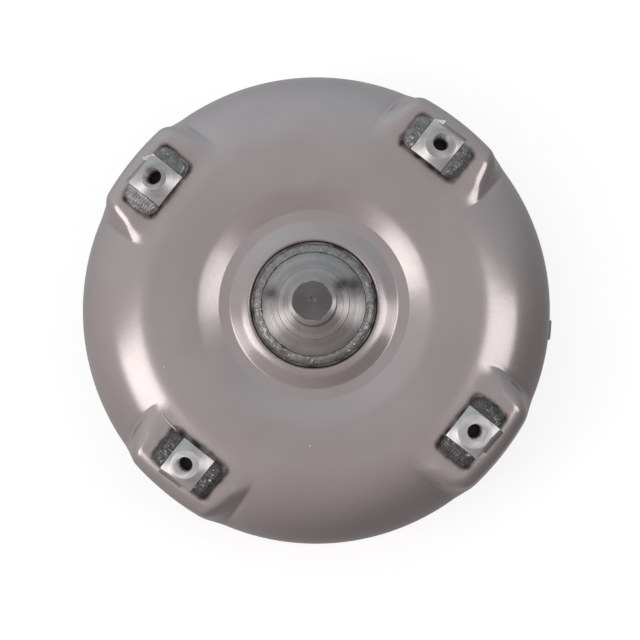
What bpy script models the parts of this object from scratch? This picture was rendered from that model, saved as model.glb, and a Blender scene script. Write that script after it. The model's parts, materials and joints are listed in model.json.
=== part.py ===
"""Torque converter: a welded housing (front cover, pilot, drive lugs, impeller) around a bladed
turbine, a stator on a roller one-way clutch, and two needle thrust bearings.

Every length below is in millimetres. Z is the rotation axis and points at the engine; the end
face of the impeller hub lies at Z = 0. Heights named *_H are measured from the rim plane."""

import math
from math import cos, pi, radians, sin

import bmesh
import bpy
from mathutils import Matrix, Vector

MM = 0.001
GAP = 0.3                   # left between pieces that touch or are welded

# Housing
RIM_Z = 84.0                # height of the rim plane over the hub end face
RIM_R = 140.0               # outside radius of the front cover
SHEET = 3.6                 # pressed sheet of the cover and of the impeller shell
SKIRT_H = -14.0             # lower edge of the cover's skirt
CREST_H = 43.0              # highest ring of the cover
CREST_R0, CREST_R1 = 87.0, 93.5
VALLEY_R0, VALLEY_R1 = 48.6, 55.4
VALLEY_H = 39.6
SLOPE_POWER = 2.25          # how the cover falls from its crest into the valley
DOME_R, DOME_H = 39.4, 44.1
MOAT_R, MOAT_H = 36.3, 41.6  # recess around the pilot hub
FLOOR_H = 35.0              # inner face of the cover's thicker middle
PILOT_HOLE_R = 28.4

# Pads pressed out of the shoulder under the drive lugs
LUG_COUNT = 4
LUG_START = 45.0            # degrees, first lug
LUG_PCD = 236.0
PAD_H = 42.5
PAD_ANGLES = (0.0, 6.0, 11.0, 13.5, 16.0, 20.5)
PAD_FLAT_V, PAD_FOOT_V = 25.5, 38.0     # half widths: flat top, foot of the flank
PAD_BOW = 0.3               # outline of a pad between the rim's arc (0) and its chord (1)

# Drive lugs, M10 thread
LUG_HEIGHT = 8.2
LUG_INNER, LUG_OUTER_TOP, LUG_OUTER_BASE = -11.4, 9.7, 14.2
LUG_HALF_WIDTH = 11.0
LUG_FACE_R = (8.7, 7.2, 8.2, 9.7)   # turned round face left on each lug
LUG_FACET_SIDE = (1, -1, 1, -1)      # which outer corner keeps its facet
LUG_SHIFT = ((-1.4, 0.9), (-1.2, 0.6), (-0.3, 0.9), (-0.2, -0.9))   # block against its hole
LUG_CONE_SLOPE = 0.42
THREAD_R = 4.3
COUNTERSINK_R = 5.4
BEAD_WIDTH, BEAD_HEIGHT, BEAD_HALF_LENGTH = 8.8, 6.6, 11.0

# Pilot hub
NOSE_R, NOSE_FACE_R, NOSE_H = 13.7, 11.4, 73.0
PILOT_R = 28.0
PILOT_EDGE_H = 46.4
PILOT_BACK_H = 32.2

# Fluid circuit: a torus shared by impeller and turbine
TORUS_R = 96.0
TORUS_A = 36.0              # inner face of the shells
CORE_A = 14.5               # outer face of the core rings
CORE_SHEET = 1.6
IMPELLER_BLADES = 19
TURBINE_BLADES = 17
BLADE_SHEET = 1.3
BLADE_EDGE_A = 35.2
BLADE_INLET_H = 12.6        # blade edge facing the stator

# Impeller hub
HUB_R, HUB_BORE_R = 25.0, 20.5
HUB_FLANGE_R = 41.0
HUB_TOP_H = -16.6
SHELL_FLOOR_H = -19.8
DRIVE_SLOT_WIDTH, DRIVE_SLOT_DEPTH = 12.0, 13.0

# Turbine
TURBINE_SHEET = 1.8
TURBINE_FLANGE_H = 22.0     # underside of the shell's flat flange
TURBINE_HUB_R = 62.5
RIVET_COUNT, RIVET_PITCH_R, RIVET_R = 6, 57.5, 2.0
TURBINE_SPLINE_TEETH = 20

# Stator and roller clutch
STATOR_HUB_R, STATOR_BORE_R = 58.3, 41.2
STATOR_BLADES = 11
SHROUD_R0, SHROUD_R1 = 79.6, 81.8
STATOR_LOW_H, STATOR_HIGH_H = -14.9, 15.2
RACE_R = 27.0
RACE_SPLINE_TEETH = 24
ROLLER_COUNT, ROLLER_R, ROLLER_PITCH_R = 8, 3.85, 31.15
CAM_HALF_WIDTH = 9.5

STEEL = ((0.42, 0.40, 0.39), 1.0, 0.35)
DARK_STEEL = ((0.22, 0.22, 0.22), 1.0, 0.50)
BRIGHT_STEEL = ((0.62, 0.61, 0.60), 1.0, 0.25)
WELD = ((0.16, 0.16, 0.16), 1.0, 0.55)
ALUMINIUM = ((0.72, 0.73, 0.74), 1.0, 0.45)
BRONZE = ((0.55, 0.38, 0.20), 1.0, 0.40)


def clear_scene():
    for obj in list(bpy.data.objects):
        bpy.data.objects.remove(obj, do_unlink=True)


def build(name, points, faces, look, helper=False):
    """Object from points in mm above the rim plane, with its faces turned outwards."""
    mesh = bpy.data.meshes.new(name)
    mesh.from_pydata([(x * MM, y * MM, (z + RIM_Z) * MM) for x, y, z in points], [], faces)
    shape = bmesh.new()
    shape.from_mesh(mesh)
    bmesh.ops.remove_doubles(shape, verts=shape.verts, dist=1e-6)
    if helper:
        bmesh.ops.triangulate(shape, faces=shape.faces)
    bmesh.ops.recalc_face_normals(shape, faces=shape.faces)
    if shape.calc_volume(signed=True) < 0:
        bmesh.ops.reverse_faces(shape, faces=shape.faces)
    shape.to_mesh(mesh)
    shape.free()
    mesh.shade_smooth()
    mesh.set_sharp_from_angle(angle=radians(32))
    obj = bpy.data.objects.new(name, mesh)
    bpy.context.scene.collection.objects.link(obj)
    if helper:
        obj.hide_render = True
        obj.display_type = "WIRE"
        return obj
    colour, metallic, roughness = look
    material = bpy.data.materials.new(name)
    material.use_nodes = True
    shader = material.node_tree.nodes["Principled BSDF"]
    shader.inputs["Base Color"].default_value = (*colour, 1.0)
    shader.inputs["Metallic"].default_value = metallic
    shader.inputs["Roughness"].default_value = roughness
    mesh.materials.append(material)
    return obj


def combine(obj, helper, operation):
    modifier = obj.modifiers.new(helper.name, "BOOLEAN")
    modifier.operation = operation
    modifier.solver = "EXACT"
    modifier.object = helper
    return obj


def even_angles(count, start=0.0):
    return [radians(start) + 2 * pi * k / count for k in range(count)]


def grid(rows, count, wrap_rows):
    """Quads of a grid of rows, closed around; rows hold count points each."""
    faces = []
    for i in range(rows if wrap_rows else rows - 1):
        for k in range(count):
            a, b = i * count + k, i * count + (k + 1) % count
            c, d = ((i + 1) % rows) * count + (k + 1) % count, ((i + 1) % rows) * count + k
            faces.append((a, b, c, d))
    return faces


def lathe(name, profile, look, angles, radius_at=None, helper=False):
    """Ring, or a solid when the profile starts and ends on the axis. radius_at(row, angle, r, z)
    may move a point."""
    on_axis = profile[0][0] == 0
    rings = profile[1:-1] if on_axis else profile
    points = []
    for row, (r, z) in enumerate(rings):
        for angle in angles:
            at_r, at_z = radius_at(row, angle, r, z) if radius_at else (r, z)
            points.append((at_r * cos(angle), at_r * sin(angle), at_z))
    count = len(angles)
    faces = grid(len(rings), count, not on_axis)
    if on_axis:
        first, last = len(points), len(points) + 1
        points += [(0, 0, profile[0][1]), (0, 0, profile[-1][1])]
        base = (len(rings) - 1) * count
        for k in range(count):
            faces.append((first, (k + 1) % count, k))
            faces.append((last, base + k, base + (k + 1) % count))
    return build(name, points, faces, look, helper)


def ring_section(name, r0, r1, z0, z1, look, segments, chamfer=0.4, helper=False):
    """Plain turned ring with small chamfers."""
    c = chamfer
    profile = [(r0 + c, z0), (r1 - c, z0), (r1, z0 + c), (r1, z1 - c),
               (r1 - c, z1), (r0 + c, z1), (r0, z1 - c), (r0, z0 + c)]
    if c == 0:
        profile = [(r0, z0), (r1, z0), (r1, z1), (r0, z1)]
    return lathe(name, profile, look, even_angles(segments), helper=helper)


def arc(centre_r, centre_z, a_r, a_z, start, end, steps):
    """Points of an ellipse arc in the profile plane, angles in degrees, both ends included."""
    points = []
    for k in range(steps + 1):
        t = radians(start + (end - start) * k / steps)
        points.append((centre_r + a_r * cos(t), centre_z + a_z * sin(t)))
    return points


def loft(sections):
    """Closed faces over equal loops of points: sides and two end caps."""
    count = len(sections[0])
    points = [p for section in sections for p in section]
    faces = grid(len(sections), count, False)
    faces.append(tuple(range(count)))
    faces.append(tuple(range((len(sections) - 1) * count, len(points))))
    return points, faces


def merge(parts):
    """One list of points and faces from several."""
    points, faces = [], []
    for some_points, some_faces in parts:
        faces += [tuple(i + len(points) for i in face) for face in some_faces]
        points += some_points
    return points, faces


def placed(points, matrix):
    return [tuple(matrix @ Vector(p)) for p in points]


def cylinder(r0, r1, z0, z1, sides, phase=0.0):
    rings = [[(r * cos(phase + 2 * pi * k / sides), r * sin(phase + 2 * pi * k / sides), z)
              for k in range(sides)] for r, z in ((r0, z0), (r1, z1))]
    return loft(rings)


def lug_frame(angle):
    """X outwards, Y along the rim, origin on the pad under a lug's hole."""
    turn = Matrix.Rotation(radians(angle), 4, "Z")
    return turn @ Matrix.Translation((LUG_PCD / 2, 0, PAD_H + GAP))


# ---------------------------------------------------------------- front cover

def nearest_pad(angle):
    """Signed angle in degrees from the middle of the nearest pad."""
    step = 360.0 / LUG_COUNT
    offset = (math.degrees(angle) - LUG_START) % step
    return offset - step if offset > step / 2 else offset


def pad_blend(r, offset):
    """1 on a pad to 0 past the foot of its flank."""
    across = abs(r * sin(radians(offset)))
    x = min(max((across - PAD_FLAT_V) / (PAD_FOOT_V - PAD_FLAT_V), 0.0), 1.0)
    return 1 - x * x * (3 - 2 * x)


def slope_point(t, drop):
    """From the crest (t = 0) to the valley (t = 1)."""
    fall = CREST_H - VALLEY_H
    return (CREST_R0 + (VALLEY_R1 - CREST_R0) * t, CREST_H - drop - fall * t ** SLOPE_POWER)


def cover_profiles():
    """Rows of the cover: (r, z) away from the pads, and (u, z) on a pad or None."""
    outer = [(RIM_R, SKIRT_H), (RIM_R, 0.0)]
    outer += arc(CREST_R1, 0, RIM_R - CREST_R1, CREST_H, 0, 90, 8)[1:]
    outer_pad = [None, None, (140.3, 11.0), (138.7, 23.5), (137.3, 34.0), (135.3, 40.0),
                 (131.4, PAD_H), (121.0, PAD_H), (109.0, PAD_H + 0.2), (97.0, CREST_H - 0.1)]
    outer += [slope_point(t, 0) for t in (0.0, 0.35, 0.6, 0.8, 1.0)]
    outer += [(VALLEY_R0, VALLEY_H), (44.2, 42.3), (41.6, 43.7), (DOME_R, DOME_H),
              (37.8, DOME_H), (36.8, 43.4), (MOAT_R, MOAT_H), (PILOT_HOLE_R, MOAT_H)]
    inner = [(PILOT_HOLE_R, FLOOR_H), (44.0, FLOOR_H)]
    inner += [slope_point(t, SHEET) for t in (1.0, 0.7, 0.4, 0.0)]
    inner += arc(CREST_R1, 0, RIM_R - CREST_R1 - SHEET, CREST_H - SHEET, 90, 0, 7)
    top = PAD_H - SHEET
    inner_pad = [(97.0, top + 0.4), (109.0, top + 0.2), (120.0, top), (129.0, top),
                 (132.8, 35.0), (134.6, 24.0), (136.3, 11.0), None]
    inner += [(RIM_R - SHEET, SKIRT_H)]
    rows = outer + inner
    pads = outer_pad + [None] * (len(outer) - len(outer_pad))
    pads += [None] * (len(inner) - len(inner_pad) - 1) + inner_pad + [None]
    return rows, pads


def front_cover():
    rows, pads = cover_profiles()
    step = 360.0 / LUG_COUNT
    between = 5
    angles = []
    for k in range(LUG_COUNT):
        middle = LUG_START + step * k
        angles += [middle - a for a in reversed(PAD_ANGLES[1:])]
        angles += [middle + a for a in PAD_ANGLES]
        span = step - 2 * PAD_ANGLES[-1]
        angles += [middle + PAD_ANGLES[-1] + span * j / between for j in range(1, between)]

    def shape(row, angle, r, z):
        if pads[row] is None:
            return r, z
        u, pad_z = pads[row]
        offset = nearest_pad(angle)
        w = pad_blend(r, offset)
        pad_r = u * (1 + PAD_BOW * (1 / cos(radians(offset)) - 1))
        return r + (pad_r - r) * w, z + (pad_z - z) * w

    lathe("front_cover", rows, STEEL, [radians(a) for a in angles], shape)


# ---------------------------------------------------------------- pilot and drive lugs

def pilot_hub():
    profile = [(0, PILOT_BACK_H), (PILOT_R - 1, PILOT_BACK_H), (PILOT_R, PILOT_BACK_H + 1),
               (PILOT_R, PILOT_EDGE_H), (21.0, 50.0), (20.6, 50.7), (15.2, 53.1),
               (NOSE_R, 54.6), (NOSE_R, NOSE_H - 1.2), (NOSE_FACE_R, NOSE_H), (2.6, NOSE_H),
               (0, NOSE_H - 2.2)]
    lathe("pilot_hub", profile, BRIGHT_STEEL, even_angles(32))
    low = MOAT_H + GAP
    bead = [(PILOT_R + GAP, low), (33.4, low), (33.2, low + 2.2), (31.8, 45.8), (29.8, 46.6),
            (PILOT_R + GAP, 46.5)]
    lathe("pilot_weld", bead, WELD, even_angles(40))


def lug_block(facet_side):
    """Convex block with a sloping outer face and one faceted outer corner."""
    w, h, s = LUG_HALF_WIDTH, LUG_HEIGHT, facet_side
    inset = 4.5
    return [(LUG_INNER, -w, 0), (LUG_INNER, w, 0), (LUG_INNER, -w, h), (LUG_INNER, w, h),
            (LUG_OUTER_TOP + 0.6, s * w, 0), (LUG_OUTER_BASE, s * (w - inset), 0),
            (LUG_OUTER_BASE, -s * w, 0), (LUG_OUTER_TOP, s * w, h),
            (LUG_OUTER_TOP, s * (w - inset), h), (LUG_OUTER_TOP, -s * w, h)]


def hull(points):
    shape = bmesh.new()
    for p in points:
        shape.verts.new(p)
    bmesh.ops.convex_hull(shape, input=shape.verts)
    shape.verts.ensure_lookup_table()
    shape.verts.index_update()
    found = [tuple(v.co) for v in shape.verts], [tuple(v.index for v in f.verts) for f in shape.faces]
    shape.free()
    return found


def drive_lugs():
    for k in range(LUG_COUNT):
        at = lug_frame(LUG_START + 360.0 / LUG_COUNT * k)
        x, y = LUG_SHIFT[k]
        points, faces = hull([(a + x, b + y, z) for a, b, z in lug_block(LUG_FACET_SIDE[k])])
        lug = build(f"drive_lug_{k + 1}", placed(points, at), faces, BRIGHT_STEEL)
        face_r, reach = LUG_FACE_R[k], 24.0
        cone = [[(r * cos(a), r * sin(a), z) for a in even_angles(24)] for r, z in
                ((reach, -2.0), (reach, LUG_HEIGHT - LUG_CONE_SLOPE * (reach - face_r)),
                 (face_r, LUG_HEIGHT))]
        points, faces = loft(cone)
        combine(lug, build(f"turning_{k + 1}", placed(points, at), faces, None, True),
                "INTERSECT")
        drill = [[(r * cos(a), r * sin(a), z) for a in even_angles(16)] for r, z in
                 ((THREAD_R, -1.0), (THREAD_R, LUG_HEIGHT - COUNTERSINK_R + THREAD_R),
                  (COUNTERSINK_R + 1, LUG_HEIGHT + 1))]
        points, faces = loft(drill)
        combine(lug, build(f"drill_{k + 1}", placed(points, at), faces, None, True),
                "DIFFERENCE")
        for side, letter in ((1, "a"), (-1, "b")):
            points, faces = weld_bead(side)
            points = [(a + x, b + y, z) for a, b, z in points]
            build(f"lug_weld_{k + 1}{letter}", placed(points, at), faces, WELD)


def weld_bead(side):
    """Fillet along one side of a lug, tapered at both ends."""
    section = [(0.0, 0.0), (1.0, 0.0), (0.97, 0.30), (0.78, 0.62), (0.45, 0.88), (0.0, 1.0)]
    stations = ((-1.0, 0.55), (-0.85, 0.86), (-0.3, 1.0), (0.3, 1.0), (0.85, 0.86), (1.0, 0.55))
    loops = [[(BEAD_HALF_LENGTH * x - 0.6, side * (LUG_HALF_WIDTH + GAP + BEAD_WIDTH * y * size),
               BEAD_HEIGHT * z * size) for y, z in section] for x, size in stations]
    return loft(loops)


def balance_weight():
    angles = [radians(a) for a in (-13.8, -11.5, -9.2)]
    loops = [[(r * cos(a), r * sin(a), z) for r, z in
              ((RIM_R + GAP, -11.0), (RIM_R + 1.4, -10.6), (RIM_R + 1.4, -2.4),
               (RIM_R + GAP, -2.0))] for a in angles]
    points, faces = loft(loops)
    build("balance_weight", points, faces, DARK_STEEL)


# ---------------------------------------------------------------- impeller

def impeller_shell():
    out = TORUS_A + SHEET
    floor_low = SHELL_FLOOR_H - SHEET
    a_out = math.degrees(math.asin(floor_low / out))
    a_in = math.degrees(math.asin(SHELL_FLOOR_H / TORUS_A))
    outer = arc(TORUS_R, 0, out, out, -1.0, -180 - a_out, 7)
    inner = arc(TORUS_R, 0, TORUS_A, TORUS_A, -180 - a_in, -1.1, 7)
    hole = HUB_R + 0.4
    profile = outer + [(hole, floor_low), (hole, SHELL_FLOOR_H)] + inner
    lathe("impeller_shell", profile, STEEL, even_angles(48, 3.75))
    seam = [(139.5, SKIRT_H - GAP), (139.2, -16.8), (137.0, -19.0), (134.0, -20.2),
            (131.4, -20.3), (132.6, -17.2), (133.7, SKIRT_H - GAP)]
    lathe("seam_weld", seam, WELD, even_angles(48, 3.75))


def impeller_hub():
    top = SHELL_FLOOR_H - SHEET - GAP
    low = top - 4.2
    end = -RIM_Z
    profile = [(HUB_BORE_R, end + 1), (HUB_BORE_R + 1, end), (HUB_R - 1.5, end),
               (HUB_R, end + 1.5), (HUB_R, low), (HUB_FLANGE_R, low), (HUB_FLANGE_R, top),
               (HUB_R, top), (HUB_R, HUB_TOP_H), (HUB_BORE_R, HUB_TOP_H)]
    hub = lathe("impeller_hub", profile, BRIGHT_STEEL, even_angles(32))
    half = DRIVE_SLOT_WIDTH / 2
    loops = [[(x, half, z), (x, -half, z), (x, -half, end - 2), (x, half, end - 2)]
             for x, z in ((-40.0, end + DRIVE_SLOT_DEPTH), (40.0, end + DRIVE_SLOT_DEPTH))]
    points, faces = loft(loops)
    combine(hub, build("slot_cutter", points, faces, None, True), "DIFFERENCE")
    bead = [(HUB_FLANGE_R + GAP, top), (45.4, top), (44.2, top - 1.8), (42.6, low + 0.8),
            (HUB_FLANGE_R + GAP, low + 0.5)]
    lathe("hub_weld", bead, WELD, even_angles(32))


def vanes(name, side, count, bend, look):
    """Bladed ring of one half torus: curved sheet blades joined to a core ring.
    side is -1 for the impeller and 1 for the turbine, bend the blade's sweep in degrees."""
    steps = 4
    core_r = CORE_A - CORE_SHEET / 2
    blades = []
    for k in range(count):
        middle = 2 * pi * k / count
        loops = []
        for i in range(steps + 1):
            s = i / steps
            sweep = radians(bend) * (s - 0.5) * (1 + 0.8 * (s - 0.5))
            loop = []
            for a in (core_r, BLADE_EDGE_A):
                first = math.asin(1.6 / a)
                last = pi - math.asin(min(BLADE_INLET_H / a, 0.92))
                t = first + (last - first) * s
                r, z = TORUS_R + a * cos(t), side * a * sin(t)
                half = BLADE_SHEET / 2 / r
                loop.append([(r * cos(middle + sweep + d), r * sin(middle + sweep + d), z)
                             for d in (-half, half)])
            (c0, c1), (e0, e1) = loop
            loops.append([c0, c1, e1, e0])
        blades.append(loft(loops))
    points, faces = merge(blades)
    helper = build(name + "_blades", points, faces, None, True)
    outer = arc(TORUS_R, 0, CORE_A, side * CORE_A, 6, 122, 4)
    inner = arc(TORUS_R, 0, CORE_A - CORE_SHEET, side * (CORE_A - CORE_SHEET), 122, 6, 4)
    ring = lathe(name, outer + inner, look, even_angles(38))
    combine(ring, helper, "UNION")


# ---------------------------------------------------------------- turbine

def turbine():
    out = TORUS_A + TURBINE_SHEET
    high = TURBINE_FLANGE_H + TURBINE_SHEET
    a_out = math.degrees(math.asin(high / out))
    a_in = math.degrees(math.asin(TURBINE_FLANGE_H / TORUS_A))
    outer = arc(TORUS_R, 0, out, out, 2.0, 180 - a_out, 7)
    inner = arc(TORUS_R, 0, TORUS_A, TORUS_A, 180 - a_in, 2.1, 7)
    profile = outer + [(36.0, high), (36.0, TURBINE_FLANGE_H)] + inner
    rivet_angles = even_angles(RIVET_COUNT, 15.0)
    holes = [(placed_cylinder(RIVET_R + GAP, RIVET_PITCH_R, a, 10.0, 30.0)) for a in rivet_angles]
    points, faces = merge(holes)
    punch = build("rivet_punch", points, faces, None, True)
    combine(lathe("turbine_shell", profile, STEEL, even_angles(42)), punch, "DIFFERENCE")

    top, low = TURBINE_FLANGE_H - GAP, TURBINE_FLANGE_H - GAP - 3.0
    teeth = TURBINE_SPLINE_TEETH
    profile = [(13.6, 14.6), (24.0, 14.6), (26.0, 16.4), (26.0, low), (TURBINE_HUB_R, low),
               (TURBINE_HUB_R, top), (35.4, top), (35.4, 25.0), (28.0, 28.2), (13.6, 28.2)]

    def splined(row, angle, r, z):
        if r > 14:
            return r, z
        return r - 0.9 + 1.8 * (round(angle * teeth / pi) % 2), z

    hub = lathe("turbine_hub", profile, BRIGHT_STEEL, even_angles(2 * teeth), splined)
    combine(hub, punch, "DIFFERENCE")
    for k, a in enumerate(rivet_angles):
        head, flat = 3.3, 1.5
        over, under = TURBINE_FLANGE_H + TURBINE_SHEET + GAP, low - GAP
        rings = [(2.2, under - flat), (head, under - 0.6), (head, under), (RIVET_R, under),
                 (RIVET_R, over), (head, over), (head, over + 0.6), (2.2, over + flat)]
        loops = [[(r * cos(b), r * sin(b), z) for b in even_angles(10)] for r, z in rings]
        points, faces = loft(loops)
        spot = Matrix.Translation((RIVET_PITCH_R * cos(a), RIVET_PITCH_R * sin(a), 0))
        build(f"turbine_rivet_{k + 1}", placed(points, spot), faces, DARK_STEEL)


def placed_cylinder(radius, pitch, angle, z0, z1, sides=8):
    points, faces = cylinder(radius, radius, z0, z1, sides)
    spot = Matrix.Translation((pitch * cos(angle), pitch * sin(angle), 0))
    return placed(points, spot), faces


# ---------------------------------------------------------------- stator and one-way clutch

def stator_wheel():
    low, high, bore = STATOR_LOW_H, STATOR_HIGH_H, STATOR_BORE_R
    groove = bore + 1.6
    profile = [(36.0, low), (STATOR_HUB_R - 1, low), (STATOR_HUB_R, low + 1),
               (STATOR_HUB_R, high - 1), (STATOR_HUB_R - 1, high), (bore, high),
               (bore, 14.3), (groove, 14.3), (groove, 12.4), (bore, 12.4), (bore, -12.5),
               (36.0, -12.5)]
    wheel = lathe("stator_wheel", profile, ALUMINIUM, even_angles(33))
    shroud = ring_section("stator_shroud", SHROUD_R0, SHROUD_R1, -10.5, 10.5, None, 33, 0.0, True)
    camber = ((-11.0, -4.2, 0.5), (-5.5, -0.6, 1.3), (0.0, 1.9, 2.3), (6.0, 3.0, 3.0),
              (10.0, 2.6, 2.0))
    blades = []
    for k in range(STATOR_BLADES):
        middle = 2 * pi * k / STATOR_BLADES
        loops = []
        for r in (STATOR_HUB_R - 1.2, SHROUD_R0 + 1.0):
            grow = 0.5 + 0.5 * r / STATOR_HUB_R
            front = [(grow * y + t, z) for z, y, t in camber]
            back = [(grow * y - t, z) for z, y, t in reversed(camber)]
            loops.append([(r * cos(middle + y / r), r * sin(middle + y / r), z)
                          for y, z in front + back])
        blades.append(loft(loops))
    points, faces = merge(blades)
    combine(wheel, build("stator_blades", points, faces, None, True), "UNION")
    combine(wheel, shroud, "UNION")


def clutch():
    sector = ((-18.7, 28.0), (-18.3, 34.7), (-9.0, 35.9), (0.0, 35.45), (9.3, 34.9),
              (9.7, 28.0), (18.0, 28.0))
    step = 360.0 / ROLLER_COUNT
    spots = [(radians(step * k + a), r) for k in range(ROLLER_COUNT) for a, r in sector]
    ramp = dict(spots)
    edge = CAM_HALF_WIDTH
    profile = [(30.0, -edge), (40.9, -edge), (40.9, edge), (30.0, edge)]

    def ramped(row, angle, r, z):
        return (ramp[angle] if r < 31 else r), z

    lathe("clutch_cam_ring", profile, DARK_STEEL, [a for a, r in spots], ramped)
    for name, side in (("clutch_plate_front", 1), ("clutch_plate_rear", -1)):
        z0, z1 = sorted((side * 9.8, side * 12.1))
        ring_section(name, 28.2, 40.8, z0, z1, BRONZE, 32, 0.0)
    snap = [radians(10 + 340 * k / 24) for k in range(25)]
    loops = [[(r * cos(a), r * sin(a), z) for r, z in
              ((38.6, 12.7), (42.3, 12.7), (42.3, 14.0), (38.6, 14.0))] for a in snap]
    points, faces = loft(loops)
    build("stator_snap_ring", points, faces, DARK_STEEL)
    ring_section("stator_thrust_washer", 43.6, 53.6, 15.5, 18.1, BRONZE, 36, 0.0)

    teeth = RACE_SPLINE_TEETH
    profile = [(16.2, -12.0), (26.2, -12.0), (RACE_R, -11.2), (RACE_R, 11.2), (26.2, 12.0),
               (16.2, 12.0)]

    def splined(row, angle, r, z):
        return (r - 0.7 + 1.4 * (round(angle * teeth / pi) % 2) if r < 20 else r), z

    lathe("clutch_inner_race", profile, BRIGHT_STEEL, even_angles(2 * teeth), splined)
    for k in range(ROLLER_COUNT):
        angle = radians(step * k)
        loops = [[(r * cos(b), r * sin(b), z) for b in even_angles(14)] for r, z in
                 ((ROLLER_R, -9.0), (ROLLER_R, 9.0))]
        points, faces = loft(loops)
        spot = Matrix.Translation((ROLLER_PITCH_R * cos(angle), ROLLER_PITCH_R * sin(angle), 0))
        build(f"clutch_roller_{k + 1}", placed(points, spot), faces, BRIGHT_STEEL)
        build_spring(k, angle)


def build_spring(k, angle):
    """Folded strip spring that pushes a roller up its ramp."""
    folds, half = 5, 0.6
    outline = []
    for offset in (half, -half):
        side = []
        for i in range(folds + 1):
            a = angle + radians(-17.4 + 9.0 * i / folds)
            r = (32.9 if i % 2 else 30.2) + offset
            side.append((r * cos(a), r * sin(a)))
        outline += side if offset > 0 else reversed(side)
    points, faces = loft([[(x, y, z) for x, y in outline] for z in (-6.0, 6.0)])
    build(f"clutch_spring_{k + 1}", points, faces, DARK_STEEL)


def thrust_bearing(name, r0, r1, z0, z1, needles):
    """Needle cage: a flat ring with radial needles standing out of both faces."""
    middle, half = (z0 + z1) / 2, (z1 - z0) / 2
    cage = ring_section(name, r0, r1, middle - 0.7, middle + 0.7, DARK_STEEL, 24, 0.0)
    rods = []
    for k in range(needles):
        turn = Matrix.Rotation(2 * pi * (k + 0.5) / needles, 4, "Z")
        lift = Matrix.Translation((0, 0, middle)) @ turn @ Matrix.Rotation(pi / 2, 4, "Y")
        points, faces = cylinder(half, half, r0 + 1.6, r1 - 1.6, 6, pi / 6)
        rods.append((placed(points, lift), faces))
    points, faces = merge(rods)
    combine(cage, build(name + "_needles", points, faces, None, True), "UNION")


clear_scene()
front_cover()
pilot_hub()
drive_lugs()
balance_weight()
impeller_shell()
impeller_hub()
vanes("impeller_vanes", -1, IMPELLER_BLADES, 9.0, DARK_STEEL)
vanes("turbine_vanes", 1, TURBINE_BLADES, -26.0, DARK_STEEL)
turbine()
stator_wheel()
clutch()
thrust_bearing("front_bearing", 17.5, 26.0, 28.5, 31.9, 10)
thrust_bearing("rear_bearing", 38.0, 50.0, -19.5, -15.2, 12)
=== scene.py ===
"""Torque converter standing on its hub, engine side up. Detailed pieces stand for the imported
solids; lengths are in millimetres and heights *_H are measured from the rim plane, as in the
part. Z is the rotation axis."""

import json
import math

import bmesh
import bpy
import numpy as np
from mathutils import Matrix, Vector, noise

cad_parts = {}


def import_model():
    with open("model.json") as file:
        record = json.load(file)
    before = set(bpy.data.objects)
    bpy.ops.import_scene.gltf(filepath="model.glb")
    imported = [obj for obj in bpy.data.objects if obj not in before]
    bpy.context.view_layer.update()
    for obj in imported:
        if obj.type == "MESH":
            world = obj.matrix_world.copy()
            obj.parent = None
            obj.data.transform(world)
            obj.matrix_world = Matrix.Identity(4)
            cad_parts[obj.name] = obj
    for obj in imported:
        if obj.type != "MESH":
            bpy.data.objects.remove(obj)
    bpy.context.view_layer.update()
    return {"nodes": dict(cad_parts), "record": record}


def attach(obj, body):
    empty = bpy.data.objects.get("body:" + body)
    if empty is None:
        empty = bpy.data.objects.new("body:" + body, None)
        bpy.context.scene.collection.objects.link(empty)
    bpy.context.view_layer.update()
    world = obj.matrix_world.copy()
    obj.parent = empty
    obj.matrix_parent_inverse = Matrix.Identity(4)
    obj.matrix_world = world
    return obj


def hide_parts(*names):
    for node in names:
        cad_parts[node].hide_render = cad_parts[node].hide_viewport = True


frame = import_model()

MM = 0.001
PI = math.pi
SMOOTH_ANGLE = 35.0

# ---------------------------------------------------------------- sizes
# As in the part, apart from small corrections to the cover's valley, dome and pads, to the
# pilot's brim and weld, and to the threads. A name's ending says what it is: R radius, H height,
# V half width along the rim, R0 and R1 the inner and outer radius. Lists with one value per lug
# run anticlockwise, seen from above, from LUG_START.

GAP = 0.3  # between neighbouring solids
RIM_Z = 84.0
RIM_R = 140.0
SHEET = 3.6
SKIRT_H = -14.0
CREST_H = 43.0
CREST_R0, CREST_R1 = 87.0, 93.5
VALLEY_R0, VALLEY_R1 = 48.8, 55.4
DOME_R, DOME_H = 38.0, 43.3
MOAT_R, MOAT_H = 36.3, 41.6
FLOOR_H = 35.0
PILOT_HOLE_R = 28.4
LUG_COUNT, LUG_START, LUG_PCD = 4, 45.0, 236.0
PAD_H = 42.5
PAD_FLAT_V, PAD_FOOT_V = 25.0, 38.5  # half widths of a pad's flat and of its flanks' feet
PAD_BOW = 0.15  # 0 for a round outer wall, 1 for a straight one
PAD_REACH = (-0.65, -0.7, 0.6, 0.4)  # of the outer wall past the drawn one
PAD_FADE_R, PAD_FADE_OVER = 101, 18  # the pad rises out of the crest from here, over this
LUG_HEIGHT = 8.2
LUG_INNER, LUG_OUTER_TOP, LUG_OUTER_BASE = -11.4, 9.7, 14.2
LUG_HALF_WIDTH = 11.0
LUG_FACE_R = (8.7, 7.2, 8.2, 9.7)  # turned round face left on each lug
LUG_FACET_SIDE = (1, -1, 1, -1)  # which outer corner is cut off
LUG_SHIFT = ((-1.4, 0.9), (-1.2, 0.6), (-0.3, 0.9), (-0.2, -0.9))  # block against its hole
LUG_CONE_SLOPE = 0.42
LUG_FOOT = -1.8  # how far the block reaches into the pad
LUG_TURNING_R = 20.0  # radius of the bar that the block is turned from
TAP_LEAN = 10.0  # of the holes, in degrees
SHADE_LINE_INSIDE = (0.8, 0.3, 2.0, 1.2)  # width of the painted shade line along the lug's inner side
LUG_FACE_TONE = (0.60, 0.53, 0.90, 0.82)
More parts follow.
